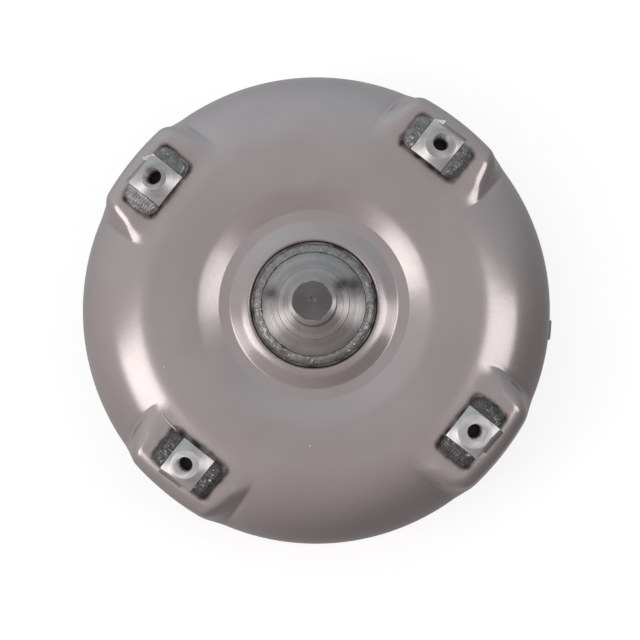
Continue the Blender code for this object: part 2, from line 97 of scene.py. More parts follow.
LEDGE_HEIGHTS = ((6.1, 5.0, 4.1), (6.1, 5.0, 4.1), (3.9, 5.2, 4.6), (3.9, 5.2, 4.6))
THREAD_R, THREAD_DEPTH, THREAD_PITCH = 4.2, 0.5, 1.25
COUNTERSINK_R = 4.9
BEAD_WIDTH, BEAD_HEIGHT, BEAD_HALF_LENGTH = 8.8, 6.6, 11.0
BEAD_RIPPLE = (0.08, 0.45, 0.40, 0.08, 0.20, 0.22, 0.25, 0.20)  # two beads for each lug
BEAD_SHIFT = -0.6
WHISKER_LUG = 2  # counted from 0
NOSE_R, NOSE_FACE_R, NOSE_H = 13.7, 11.4, 73.0
PILOT_R, PILOT_BACK_H = 28.0, 32.2
PILOT_BRIM_R, PILOT_BRIM_H = 31.0, 44.85  # turned face, past the drawn hub as in the photo
PILOT_WELD_R, PILOT_WELD_MAX_R = 35.2, 35.9
PILOT_BLOB_ANGLE, PILOT_BLOB_R = 235, 32.0  # molten lump on the ring weld
TORUS_R, TORUS_A = 96.0, 36.0
HUB_R, HUB_BORE_R, HUB_FLANGE_R, HUB_TOP_H = 25.0, 20.5, 41.0, -16.6
SHELL_FLOOR_H = -19.8
DRIVE_SLOT_WIDTH, DRIVE_SLOT_DEPTH = 12.0, 13.0
WEIGHT_START, WEIGHT_END, WEIGHT_THICKNESS = -13.8, -9.2, 1.5
WEIGHT_LOW, WEIGHT_HIGH = -11.0, -2.0

# Camera: angles in degrees, distance and aim in mm. PICTURE_TOP is where the picture's top lies,
# anticlockwise from X seen from above.
CAMERA_AZIMUTH, CAMERA_ELEVATION, CAMERA_ROLL = 16.43, 85.81, -22.95
CAMERA_DISTANCE = 1154.0
CAMERA_LENS, CAMERA_SENSOR, CAMERA_NEAR = 108.1, 36.0, 0.05
AIM_RIGHT, AIM_UP = 2.5, -6.4
PICTURE_TOP = 83.5

# Each softbox: picture angle, zenith, distance, width, height, radiance
SOFTBOXES = {"left_softbox": (200, 44, 1.5, 0.56, 1.02, 1.30),
             "right_softbox": (-6, 42.5, 1.5, 0.57, 1.10, 1.10)}
# Room seen in the metal, as (place, grey) and (place, colour) along two directions
ROOM_GREY = ((-1, 0.20), (-0.75, 0.235), (-0.45, 0.32), (-0.2, 0.39), (0, 0.42), (0.4, 0.475),
             (1, 0.60))
ROOM_CAST = ((-1, (1.04, 0.98, 0.98)), (-0.1, (1.03, 0.985, 0.985)), (0.35, (0.99, 1.0, 1.03)),
             (1, (0.93, 1.02, 1.08)))
BACKDROP = (0.84, 0.85, 0.86)
FLOOR_R, FLOOR_GLOW = 1.2, 0.58


# ---------------------------------------------------------------- mesh helpers

def to_object(name, points, faces, smooth_angle=SMOOTH_ANGLE):
    """Object from points in mm above the rim plane."""
    points = np.asarray(points, float).reshape(-1, 3) * MM + (0, 0, RIM_Z * MM)
    mesh = bpy.data.meshes.new(name)
    mesh.from_pydata(points.tolist(), [], faces)
    shape = bmesh.new()
    shape.from_mesh(mesh)
    bmesh.ops.remove_doubles(shape, verts=shape.verts, dist=1e-6)
    bmesh.ops.recalc_face_normals(shape, faces=shape.faces)
    if shape.calc_volume(signed=True) < 0:
        bmesh.ops.reverse_faces(shape, faces=shape.faces)
    shape.to_mesh(mesh)
    shape.free()
    finish_shading(mesh, smooth_angle)
    return add_object(name, mesh)


def add_object(name, data):
    """New object for a mesh, light or camera, linked to the scene."""
    obj = bpy.data.objects.new(name, data)
    bpy.context.scene.collection.objects.link(obj)
    return obj


def points_of(mesh):
    """The mesh's points in mm above the rim plane."""
    co = np.empty(len(mesh.vertices) * 3)
    mesh.vertices.foreach_get("co", co)
    return co.reshape(-1, 3) / MM - (0, 0, RIM_Z)


def finish_shading(mesh, smooth_angle):
    """Smooth shading with edges sharp from an angle in degrees."""
    mesh.shade_smooth()
    mesh.set_sharp_from_angle(angle=math.radians(smooth_angle))


def grid_faces(rows, count, wrap_rows):
    """Faces between neighbouring loops of `count` points each."""
    faces = []
    for i in range(rows if wrap_rows else rows - 1):
        low, high = i * count, (i + 1) % rows * count
        for k in range(count):
            n = (k + 1) % count
            faces.append((low + k, low + n, high + n, high + k))
    return faces


def bar_faces(rows, count):
    """Faces between loops, with a cap on the first and the last."""
    base = (rows - 1) * count
    return grid_faces(rows, count, False) + [tuple(range(count))[::-1],
                                             tuple(range(base, base + count))]


def round_points(r, t, z):
    """Points, one a row, from arrays of radius, angle and height."""
    return np.stack([r * np.cos(t), r * np.sin(t), z], axis=-1).reshape(-1, 3)


def lathe(name, profile, angles, move=None, smooth_angle=SMOOTH_ANGLE):
    """Turned piece. A profile that starts and ends on the axis gives a solid, else a ring.
    move(r, z, angle grid) may return new r and z arrays."""
    profile = np.asarray(profile, float)
    on_axis = profile[0][0] == 0
    rings = profile[1:-1] if on_axis else profile
    r, t = np.meshgrid(rings[:, 0], angles, indexing="ij")
    z = np.repeat(rings[:, 1:2], len(angles), axis=1)
    if move:
        r, z = move(r, z, t)
    points = round_points(r, t, z)
    count = len(angles)
    faces = grid_faces(len(rings), count, not on_axis)
    if on_axis:
        first, last = len(points), len(points) + 1
        base = (len(rings) - 1) * count
        points = np.vstack([points, [[0, 0, profile[0][1]], [0, 0, profile[-1][1]]]])
        for k in range(count):
            n = (k + 1) % count
            faces += [(first, n, k), (last, base + k, base + n)]
    return to_object(name, points, faces, smooth_angle)


def even(count):
    """Angles at equal steps round a whole turn."""
    return np.arange(count) * 2 * PI / count


def arc(centre, size, start, end, steps):
    """Points of an ellipse arc in the profile plane, angles in degrees."""
    t = np.radians(np.linspace(start, end, steps + 1))
    return list(zip(centre[0] + size[0] * np.cos(t), centre[1] + size[1] * np.sin(t)))


def rounded(corners, arc_steps=8):
    """Polyline through (x, z, fillet radius) corners with its corners filleted."""
    line = [np.array(corners[0][:2], float)]
    for before, here, after in zip(corners, corners[1:], corners[2:]):
        p = np.array(here[:2], float)
        a, b = np.array(before[:2]) - p, np.array(after[:2]) - p
        la, lb = np.linalg.norm(a), np.linalg.norm(b)
        a, b = a / la, b / lb
        half = math.acos(max(-1.0, min(1.0, float(a @ b)))) / 2
        if here[2] == 0 or half > PI / 2 - 0.01:
            line.append(p)
            continue
        reach = min(here[2] / math.tan(half), 0.49 * la, 0.49 * lb)
        radius = reach * math.tan(half)
        middle = p + (a + b) / np.linalg.norm(a + b) * radius / math.sin(half)
        start, end = p + a * reach - middle, p + b * reach - middle
        turn = math.atan2(start[0] * end[1] - start[1] * end[0], float(start @ end))
        for k in range(arc_steps + 1):
            c, s = math.cos(turn * k / arc_steps), math.sin(turn * k / arc_steps)
            line.append(middle + (c * start[0] - s * start[1], s * start[0] + c * start[1]))
    line.append(np.array(corners[-1][:2], float))
    return [tuple(p) for p in line]


def resample(line, count):
    """The polyline's points at equal steps of its length."""
    line = np.asarray(line, float)
    reach = np.concatenate([[0], np.cumsum(np.linalg.norm(np.diff(line, axis=0), axis=1))])
    at = np.linspace(0, reach[-1], count)
    return np.stack([np.interp(at, reach, line[:, i]) for i in range(2)], axis=1)


def closed_section(corners, arc_steps, count):
    """Closed outline with filleted corners, as count - 1 points at equal steps."""
    line = rounded(corners, arc_steps)
    return resample(line + line[:1], count)[:-1]


def ramp(x, soft):
    """0 to 1 over x in 0..1, straight in the middle and rounded over `soft` at both ends."""
    x = np.clip(x, 0, 1)
    rise = 1 / (1 - soft)
    y = np.where(x < soft, rise * x * x / (2 * soft), rise * (x - soft / 2))
    return np.where(x > 1 - soft, 1 - rise * (1 - x) ** 2 / (2 * soft), y)


def waves(points, scale, seed, depth=1):
    """Smooth noise between about -1 and 1 at points in mm."""
    offset = Vector((seed * 17.3, seed * 5.1, seed * 9.7))
    out = np.empty(len(points))
    for i, p in enumerate(points):
        v = Vector(p) / scale + offset
        value = noise.noise(v)
        if depth > 1:
            value += 0.5 * noise.noise(v * 2.1)
        out[i] = value
    return out


def lug_frame(k):
    """X outwards, Y along the rim, origin on the pad under the lug's hole."""
    turn = Matrix.Rotation(math.radians(LUG_START + 360.0 / LUG_COUNT * k), 4, "Z")
    return turn @ Matrix.Translation((LUG_PCD / 2, 0, PAD_H + GAP))


def picture_angle(angle):
    """Direction seen from above, of an angle in degrees anticlockwise from the picture's right."""
    return math.radians(angle + PICTURE_TOP - 90)


def moved(points, matrix):
    """The points as the matrix places them."""
    m = np.array(matrix)
    return np.asarray(points, float).reshape(-1, 3) @ m[:3, :3].T + m[:3, 3]


def boolean(obj, other, operation):
    """Makes the Boolean real at once and removes the other object."""
    modifier = obj.modifiers.new(operation.lower(), "BOOLEAN")
    modifier.operation, modifier.solver, modifier.object = operation, "EXACT", other
    graph = bpy.context.evaluated_depsgraph_get()
    mesh = bpy.data.meshes.new_from_object(obj.evaluated_get(graph))
    obj.modifiers.clear()
    old, obj.data = obj.data, mesh
    bpy.data.meshes.remove(old)
    mesh.name = obj.name
    bpy.data.objects.remove(other)


def note_turning(obj, matrix=None):
    """Stores where a point lies in the piece's own turning frame, for the materials: `local` in
    mm and `turn`, the direction round the axis."""
    m = np.array(matrix if matrix is not None else Matrix.Identity(4))
    local = (points_of(obj.data) - m[:3, 3]) @ m[:3, :3]
    around = np.stack([-local[:, 1], local[:, 0], np.zeros(len(local))], axis=1)
    around /= np.maximum(np.linalg.norm(around, axis=1, keepdims=True), 1e-6)
    around = around @ m[:3, :3].T
    for name, data in (("local", local), ("turn", around)):
        layer = obj.data.attributes.new(name, "FLOAT_VECTOR", "POINT")
        layer.data.foreach_set("vector", data.astype(np.float32).ravel())


def place(obj, body, slot, material, *nodes):
    """Registers a piece: what it rides on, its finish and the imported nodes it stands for."""
    obj.data.materials.clear()
    obj.data.materials.append(material)
    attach(obj, body)
    if nodes:
        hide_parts(*nodes)


# ---------------------------------------------------------------- materials

class Nodes:
    """Short way to write a node tree."""

    def __init__(self, name):
        self.material = bpy.data.materials.new(name)
        self.material.use_nodes = True
        self.tree = self.material.node_tree
        self.shader = self.tree.nodes["Principled BSDF"]

    def add(self, kind, links=None, **settings):
        node = self.tree.nodes.new(kind)
        for key, value in settings.items():
            setattr(node, key, value)
        for key, value in (links or {}).items():
            self.put(node.inputs[key], value)
        return node

    def put(self, socket, value):
        if isinstance(value, bpy.types.NodeSocket):
            self.tree.links.new(value, socket)
        else:
            socket.default_value = value

    def math(self, operation, a, b):
        return self.add("ShaderNodeMath", {0: a, 1: b}, operation=operation).outputs[0]

    def noise(self, where, scale, detail, rough=0.5):
        node = self.add("ShaderNodeTexNoise", {"Vector": where, "Scale": scale,
                                               "Detail": detail, "Roughness": rough})
        return node.outputs["Fac"]

    def stretch(self, where, scale):
        return self.add("ShaderNodeMapping", {"Vector": where, "Scale": scale}).outputs[0]

    def span(self, value, low, high, to_low, to_high):
        node = self.add("ShaderNodeMapRange", {0: value, 1: low, 2: high, 3: to_low, 4: to_high})
        return node.outputs[0]

    def spread(self, noise_value, to_low, to_high):
        """Noise, most of which lies between 0.3 and 0.7, stretched over a range."""
        return self.span(noise_value, 0.3, 0.7, to_low, to_high)

    def attribute(self, name, kind):
        return self.add("ShaderNodeAttribute", attribute_name=name).outputs[kind]

    def mix(self, amount, a, b):
        node = self.add("ShaderNodeMix", data_type="RGBA")
        self.put(node.inputs["Factor"], amount)
        self.put(node.inputs["A"], a)
        self.put(node.inputs["B"], b)
        return node.outputs["Result"]

    def bump(self, height, distance):
        return self.add("ShaderNodeBump", {"Height": height, "Distance": distance}).outputs[0]

    def set(self, **values):
        for key, value in values.items():
            self.put(self.shader.inputs[key.replace("_", " ")], value)


def where_of(n):
    """Object coordinates in millimetres."""
    point = n.add("ShaderNodeTexCoord").outputs["Object"]
    return n.stretch(point, (1 / MM,) * 3)


def rgba(colour, dim=1.0):
    """Opaque colour, darkened if dim is under 1."""
    return tuple(dim * c for c in colour) + (1,)


def pressed_steel():
    """Semi-gloss pressed sheet: faint mottling, fine drawn scratches, pinprick specks, a brown
    heat tint by the welds, and near black that is partly weld soot and partly painted shade
    hugging the lugs and beads, with painted shade in the moat round the pilot weld."""
    n = Nodes("pressed_steel")
    at = where_of(n)
    cloud = n.noise(at, 0.02, 3)
    fine = n.noise(at, 0.9, 3, 0.6)
    colour = n.mix(n.span(cloud, 0.35, 0.65, 0, 1), (0.575, 0.515, 0.51, 1),
                   (0.62, 0.56, 0.555, 1))
    scratch_a = n.noise(n.stretch(at, (0.9, 0.03, 0.3)), 1.0, 4, 0.7)
    scratch_b = n.noise(n.stretch(at, (0.026, 0.8, 0.3)), 1.0, 4, 0.7)
    scratches = n.math("ADD", n.span(scratch_a, 0.66, 0.72, 0, 1),
                       n.span(scratch_b, 0.67, 0.73, 0, 1))
    specks = n.add("ShaderNodeTexVoronoi", {"Vector": at, "Scale": 0.085}).outputs["Distance"]
    size = n.span(n.noise(at, 0.05, 1), 0.45, 0.75, 0.015, 0.06)
    specks = n.math("LESS_THAN", specks, size)
    # Heat tint and soot by the welds, mixed with painted shade hugging the lugs and beads and
    # filling the moat
    soot_and_shade = n.math("MULTIPLY", n.attribute("tint_soot_and_shade", "Fac"),
                  n.spread(n.noise(at, 0.14, 2), 0.55, 1.15))
    rough = n.math("ADD", n.spread(fine, 0.20, 0.25), n.math("MULTIPLY", scratches, 0.06))
    rough = n.math("ADD", rough, n.math("MULTIPLY", specks, 0.2))
    rough = n.math("ADD", rough, n.math("MULTIPLY", soot_and_shade, 0.25))
    colour = n.mix(n.math("MULTIPLY", specks, 0.5), colour, (0.85, 0.83, 0.81, 1))
    # Brown heat tint, then near black: partly weld soot, partly painted shade
    colour = n.mix(n.span(soot_and_shade, 0.02, 0.55, 0, 0.35), colour, (0.36, 0.28, 0.27, 1))
    colour = n.mix(n.span(soot_and_shade, 0.35, 1.0, 0, 0.92), colour, (0.035, 0.030, 0.030, 1))
    height = n.math("ADD", n.math("MULTIPLY", n.noise(at, 0.07, 2), 0.08),
                    n.math("MULTIPLY", fine, 0.005))
    height = n.math("SUBTRACT", height, n.math("MULTIPLY", scratches, 0.002))
    n.set(Base_Color=colour, Metallic=1.0, Roughness=rough, Normal=n.bump(height, 0.001))
    return n.material


def turned_steel(name, colour, roughness, ring_pitch=0.55, face=None, painted_dark_reflections=(), grooved=0.8):
    """Lathe-turned surface: fine rings about the piece's own axis, stretched highlights. face
    is (radius, colour, roughness, raggedness) of a flat end face finished differently. Each
    painted dark reflection (distance out in mm, picture angle, size in mm) is a patch painted
    dark where the turned face mirrors dark parts of the room."""
    n = Nodes(name)
    local, turn = n.attribute("local", "Vector"), n.attribute("turn", "Vector")
    flat = n.add("ShaderNodeVectorMath", {0: local, 1: (1, 1, 0)}, operation="MULTIPLY")
    radius = n.add("ShaderNodeVectorMath", {0: flat.outputs[0]}, operation="LENGTH")
    radius = radius.outputs["Value"]
    parts = n.add("ShaderNodeSeparateXYZ", {0: local})
    across = n.math("ADD", radius, parts.outputs["Z"])
    rings = n.add("ShaderNodeTexNoise", {"W": n.math("MULTIPLY", across, 1 / ring_pitch),
                                         "Scale": 1.0, "Detail": 3.0},
                  noise_dimensions="1D").outputs["Fac"]
    broad = n.add("ShaderNodeTexNoise", {"W": across, "Scale": 0.35, "Detail": 1.0},
                  noise_dimensions="1D").outputs["Fac"]
    cloud = n.noise(local, 0.16, 3)
    tone = n.mix(n.spread(broad, 0, 1), rgba(colour, 0.82), rgba(colour))
    tone = n.mix(n.span(cloud, 0.45, 0.8, 0, 0.35), tone, (0.22, 0.20, 0.19, 1))
    # Painted dark reflections: patches set at picture angles where the face mirrors dark parts of
    # the room
    for out, angle, size in painted_dark_reflections:
        turned = picture_angle(angle)
        spot = (out * math.cos(turned), out * math.sin(turned), 0)
        away = n.add("ShaderNodeVectorMath", {0: flat.outputs[0], 1: spot},
                     operation="DISTANCE").outputs["Value"]
        ragged = n.math("ADD", away, n.math("MULTIPLY", n.noise(local, 0.18, 3), size))
        tone = n.mix(n.span(ragged, size * 0.7, size * 1.7, 0.72, 0), tone, (0.05, 0.05, 0.05, 1))
    rough = n.spread(rings, roughness * 0.85, roughness * 1.2)
    if face:
        face_r, face_colour, face_rough, ragged = face
        wander = n.math("MULTIPLY", n.math("SUBTRACT", n.noise(local, 0.22, 3, 0.6), 0.5),
                        ragged)
        inside = n.span(n.math("ADD", radius, wander), face_r - 0.25, face_r + 0.25, 1, 0)
        grain = n.noise(local, 1.4, 3, 0.6)
        face_tone = n.mix(n.spread(grain, 0, 1), rgba(face_colour, 0.88), rgba(face_colour))
        tone = n.mix(inside, tone, face_tone)
        rough = n.math("ADD", rough, n.math("MULTIPLY", inside, face_rough - roughness))
    n.set(Base_Color=tone, Metallic=1.0, Anisotropic=grooved, Roughness=rough,
          Normal=n.bump(rings, 0.00002), Tangent=turn)
    return n.material


def weld_metal(name="weld_metal", low=(0.21, 0.21, 0.212), high=(0.32, 0.32, 0.32),
               bright=0.7, gloss=0.20, relief=0.5):
    """As-welded bead: grey scale, glassy flecks and a few bright spatter grains."""
    n = Nodes(name)
    at = where_of(n)
    grain = n.noise(at, 1.3, 3, 0.6)
    cloud = n.noise(at, 0.22, 3)
    puddle = n.noise(at, 0.34, 2, 0.45)
    slag = n.span(n.noise(at, 0.42, 3, 0.55), 0.62, 0.70, 0, 1)
    dark = n.span(n.noise(n.stretch(at, (1, 1, 1.3)), 0.3, 4, 0.65), 0.30, 0.42, 1, 0)
    colour = n.mix(n.spread(cloud, 0, 1), rgba(low), rgba(high))
    colour = n.mix(n.math("MULTIPLY", slag, bright), colour, (0.72, 0.71, 0.70, 1))
    colour = n.mix(n.math("MULTIPLY", dark, 0.6), colour, (0.07, 0.068, 0.068, 1))
    rough = n.spread(grain, gloss, gloss + 0.12)
    rough = n.math("SUBTRACT", rough, n.math("MULTIPLY", slag, 0.08))
    height = n.math("ADD", n.math("MULTIPLY", puddle, relief),
                    n.math("MULTIPLY", grain, 0.02))
    n.set(Base_Color=colour, Metallic=0.95, Roughness=rough, Normal=n.bump(height, 0.001))
    return n.material


def plain_steel(name, colour, roughness):
    """Unpolished metal of one colour, a little clouded and grainy."""
    n = Nodes(name)
    at = where_of(n)
    grain = n.noise(at, 1.6, 3, 0.6)
    cloud = n.noise(at, 0.08, 3)
    tone = n.mix(n.spread(cloud, 0, 1), rgba(colour, 0.8), rgba(colour))
    n.set(Base_Color=tone, Metallic=1.0,
          Roughness=n.spread(grain, roughness * 0.8, roughness * 1.25),
          Normal=n.bump(grain, 0.00004))
    return n.material


def cast_aluminium():
    """Matt grainy casting."""
    n = Nodes("cast_aluminium")
    at = where_of(n)
    grain = n.noise(at, 1.3, 5, 0.7)
    tone = n.mix(n.spread(grain, 0, 1), (0.58, 0.59, 0.60, 1), (0.74, 0.75, 0.76, 1))
    n.set(Base_Color=tone, Metallic=1.0, Roughness=n.spread(grain, 0.38, 0.55),
          Normal=n.bump(grain, 0.00012))
    return n.material


def floor_paper():
    """Pale paper with a faint glow, so that only the object's own shade shows on it."""
    n = Nodes("floor_paper")
    at = where_of(n)
    tone = n.mix(n.noise(at, 0.01, 2), (0.86, 0.86, 0.86, 1), (0.88, 0.88, 0.88, 1))
    n.set(Base_Color=tone, Roughness=0.9, Emission_Color=(1, 1, 1, 1),
          Emission_Strength=FLOOR_GLOW)
    return n.material


STEEL = pressed_steel()
TURNED = turned_steel("turned_steel", (0.60, 0.57, 0.55), 0.30)
# Pilot steel: the nose face is rougher, and its dark colour is a painted reflection of the dark
# camera and room above it; the three patches are painted dark reflections
PILOT_STEEL = turned_steel("pilot_steel", (0.49, 0.465, 0.455), 0.27, 0.5,
                           face=(NOSE_FACE_R - 0.2, (0.20, 0.193, 0.19), 0.42, 3.2),
                           painted_dark_reflections=((25.5, 166, 5.5), (26.0, 24, 6.0), (19, 35, 4.5)),
                           grooved=0.5)
WELD = weld_metal()
# A darker copy of the weld metal, used for the beads of the two lower lugs
LOWER_LUG_WELD = weld_metal("lower_lug_weld_metal", (0.10, 0.098, 0.098), (0.19, 0.187, 0.187), 0.8)
MOLTEN_WELD = weld_metal("molten_weld_metal", (0.34, 0.34, 0.34), (0.62, 0.61, 0.60), 0.9, 0.16)
PILOT_WELD = weld_metal("pilot_weld_metal", (0.26, 0.256, 0.255), (0.42, 0.41, 0.41), 0.7,
                        0.24, 0.25)
WIRE = plain_steel("filler_wire", (0.80, 0.76, 0.72), 0.4)
# Near black, used only for the painted shade disc down each lug's hole
HOLE_SHADE_BLACK = plain_steel("painted_hole_shade", (0.035, 0.033, 0.033), 0.5)
DARK = plain_steel("plain_steel", (0.26, 0.26, 0.26), 0.45)
ALUMINIUM = cast_aluminium()
BRONZE = plain_steel("bronze", (0.55, 0.38, 0.20), 0.35)
SLOT_MATERIALS = {"pressed_steel": STEEL, "machined_steel": TURNED, "weld_metal": WELD,
                  "plain_steel": DARK, "cast_aluminium": ALUMINIUM, "bronze": BRONZE}


def lug_steel(k):
    """Turned lug: bright cone, ground face a little different on each lug."""
    tone = LUG_FACE_TONE[k]
    face = (LUG_FACE_R[k], (tone, tone * 0.965, tone * 0.96), 0.36, 0.3)
    return turned_steel(f"lug_steel_{k + 1}", (0.74, 0.72, 0.71), 0.24, ring_pitch=0.4, face=face)


# ---------------------------------------------------------------- front cover

PAD_STEP = 2 * PI / LUG_COUNT


def pad_offset(t):
    """Angle from the middle of the nearest pad."""
    return (t - math.radians(LUG_START) + PAD_STEP / 2) % PAD_STEP - PAD_STEP / 2


def pad_reach(t):
    """How far the nearest pad's outer wall stands out past the drawn one, in mm."""
    nearest = np.round((t - math.radians(LUG_START)) / PAD_STEP).astype(int) % LUG_COUNT
    return np.array(PAD_REACH)[nearest]


def pad_weight(across, out):
    """1 on a pad's flat to 0 past the foot of its flank, which meets the cover in a crease. The
    flat narrows towards the outer edge, and the pad fades where it runs into the crest."""
    fade = np.clip((out - PAD_FADE_R) / PAD_FADE_OVER, 0, 1)
    fade = fade * fade * (3 - 2 * fade)
    flat = PAD_FLAT_V - 3.0 * np.clip((out - 120) / 16, 0, 1) - 2.0 * (1 - fade)
    x = np.clip((across - flat) / (PAD_FOOT_V - 3.0 * (1 - fade) - flat), 0, 1)
    top, foot = 0.42, 0.16  # shares of the flank that are rounded
    middle = 1 / (1 - top / 2 - foot / 2)
    y = np.where(x < top, middle * x * x / (2 * top), middle * (x - top / 2))
    return fade * (1 - np.where(x > 1 - foot, 1 - middle * (1 - x) ** 2 / (2 * foot), y))


def cover_angles():
    """Angles of the cover's columns, closer together across the pads."""
    angles = []
    step, half = 360.0 / LUG_COUNT, 23
    for k in range(LUG_COUNT):
        start = LUG_START + step * k
        angles += list(start + np.linspace(-half, half, 139))
        angles += list(start + np.linspace(half, step - half, 34)[1:-1])
    return np.radians(angles)


def front_cover():
    """Sheet with its shoulder lathed first. On the pads each point of the shoulder moves to its
    match on the pad's own section."""
    wide, crest_r = RIM_R - CREST_R1, CREST_R0 + 1
    shoulder = arc((CREST_R1, 0), (wide, CREST_H), 0, 90, 60) + [(crest_r, CREST_H)]
    pad = rounded([(RIM_R, 0, 0), (140.3, 12, 14), (137.2, PAD_H, 10),
                   (109, PAD_H + 0.15, 30), (crest_r, CREST_H, 0)], 14)
    inner_wide, inner_high = wide - SHEET, CREST_H - SHEET
    inside = arc((CREST_R1, 0), (inner_wide, inner_high), 0, 90, 40) + [(crest_r, inner_high)]
    pad_inside = rounded([(RIM_R - SHEET, 0, 0), (136.5, 12, 8), (133.6, PAD_H - SHEET, 3.5),
                          (109, PAD_H - SHEET, 20), (crest_r, inner_high, 0)], 8)
    count, inner_count = 72, 36
    out_base, out_pad = resample(shoulder, count), resample(pad, count)
    in_base, in_pad = resample(inside, inner_count), resample(pad_inside, inner_count)

    # The crest leans inwards more and more steeply down to the valley
    radii = np.linspace(CREST_R0, VALLEY_R1, 44)
    lean = (0.05 * ramp((CREST_R0 - radii) / 13, 0.5) + 0.24 * ramp((73 - radii) / 8, 0.5)
            + 0.07 * np.clip((65 - radii) / 9, 0, 1))
    drop = np.append(0, np.cumsum((lean[1:] + lean[:-1]) / 2 * -np.diff(radii)))
    valley_h = CREST_H - drop[-1]
    down = list(zip(radii, CREST_H - drop))
    centre = rounded([down[-2] + (0,), (VALLEY_R1, valley_h, 1.2), (VALLEY_R0, valley_h, 2.2),
                      (45.0, valley_h + 2.3, 6), (41.6, DOME_H - 0.8, 8), (DOME_R, DOME_H, 1.6),
                      (36.9, 42.7, 0.8), (MOAT_R, MOAT_H, 0.8), (PILOT_HOLE_R, MOAT_H, 0)], 8)
    under = rounded([(PILOT_HOLE_R, FLOOR_H, 0), (44.0, FLOOR_H, 2), (VALLEY_R1, 36.0, 4),
                     (72.0, inner_high - 0.6, 12), (CREST_R0, inner_high, 0)], 5)
    skirt = [(RIM_R - SHEET, SKIRT_H), (RIM_R - 0.5, SKIRT_H), (RIM_R, SKIRT_H + 0.5),
             (RIM_R, -8.0), (RIM_R, -3.0)]

    profile = skirt + [tuple(p) for p in out_base] + down[:-1] + centre[1:] + under
    first_pad = len(skirt)
    first_inner = len(profile)
    profile += [tuple(p) for p in in_base[::-1]]

    def pads(r, z, t):
        for start, base, target in ((first_pad, out_base, out_pad),
                                    (first_inner, in_base[::-1], in_pad[::-1])):
            rows = slice(start, start + len(base))
            off = pad_offset(t[rows])
            across = np.abs(r[rows] * np.sin(off))
            weight = pad_weight(across, target[:, :1])
            reach = pad_reach(t[rows]) * np.clip((target[:, :1] - 100) / 30, 0, 1)
            target_r = (target[:, :1] + reach) * (1 + PAD_BOW * (1 / np.cos(off) - 1))
            new_r = r[rows] + (target_r - r[rows]) * weight
            z[rows] += (target[:, 1:] - z[rows]) * weight
            crease = np.exp(-((across - PAD_FOOT_V) / 1.8) ** 2 - ((new_r - 128) / 7.5) ** 2)
            z[rows] -= 0.8 * crease
            r[rows] = new_r
        return r, z

    cover = lathe("cover", profile, cover_angles(), pads, 50.0)
    tint_soot_and_shade_cover(cover)
    place(cover, "housing", "pressed_steel", STEEL, "front_cover")


def tint_soot_and_shade_cover(cover):
    """Brown heat tint round the welds, and near black that is partly weld soot and partly
    painted shade, hugging the lugs and beads and widest along each lug's inner side; the moat
    round the pilot weld gets painted shade. Kept as a value from 0 to 1 on each point.
    """
    half_x, half_y, corner = BEAD_HALF_LENGTH, LUG_HALF_WIDTH + BEAD_WIDTH + 0.6, 4.0
    far, below, fade = 40, -12, 1.9
    points = points_of(cover.data)
    tint_soot_and_shade = np.zeros(len(points))
    for k in range(LUG_COUNT):
        m = np.array(lug_frame(k))
        local = (points - m[:3, 3]) @ m[:3, :3]
        x = local[:, 0] - LUG_SHIFT[k][0] - BEAD_SHIFT
        # The zone reaches a little past each lug's inner side: a line of painted shade there
        x = np.where(x < 0, np.minimum(x + SHADE_LINE_INSIDE[k], 0), x)
        y = local[:, 1] - LUG_SHIFT[k][1]
        dx = np.maximum(np.abs(x) - half_x + corner, 0)
        dy = np.maximum(np.abs(y) - half_y + corner, 0)
        away = np.hypot(dx, dy) - corner
        near = np.where(np.hypot(x, y) < far, np.exp(-np.maximum(away, 0) / fade), 0)
        tint_soot_and_shade = np.maximum(tint_soot_and_shade, np.where(local[:, 2] > below, near, 0))
    r = np.hypot(points[:, 0], points[:, 1])
    # Painted shade: the groove of the moat round the pilot weld is darkened
    moat_shade = 0.85 * np.clip(MOAT_R + 0.9 - r, 0, 1) * (points[:, 2] > FLOOR_H + 2)
    tint_soot_and_shade = np.maximum(tint_soot_and_shade, moat_shade)
    layer = cover.data.attributes.new("tint_soot_and_shade", "FLOAT", "POINT")
    layer.data.foreach_set("value", tint_soot_and_shade.astype(np.float32))


# ---------------------------------------------------------------- pilot and drive lugs

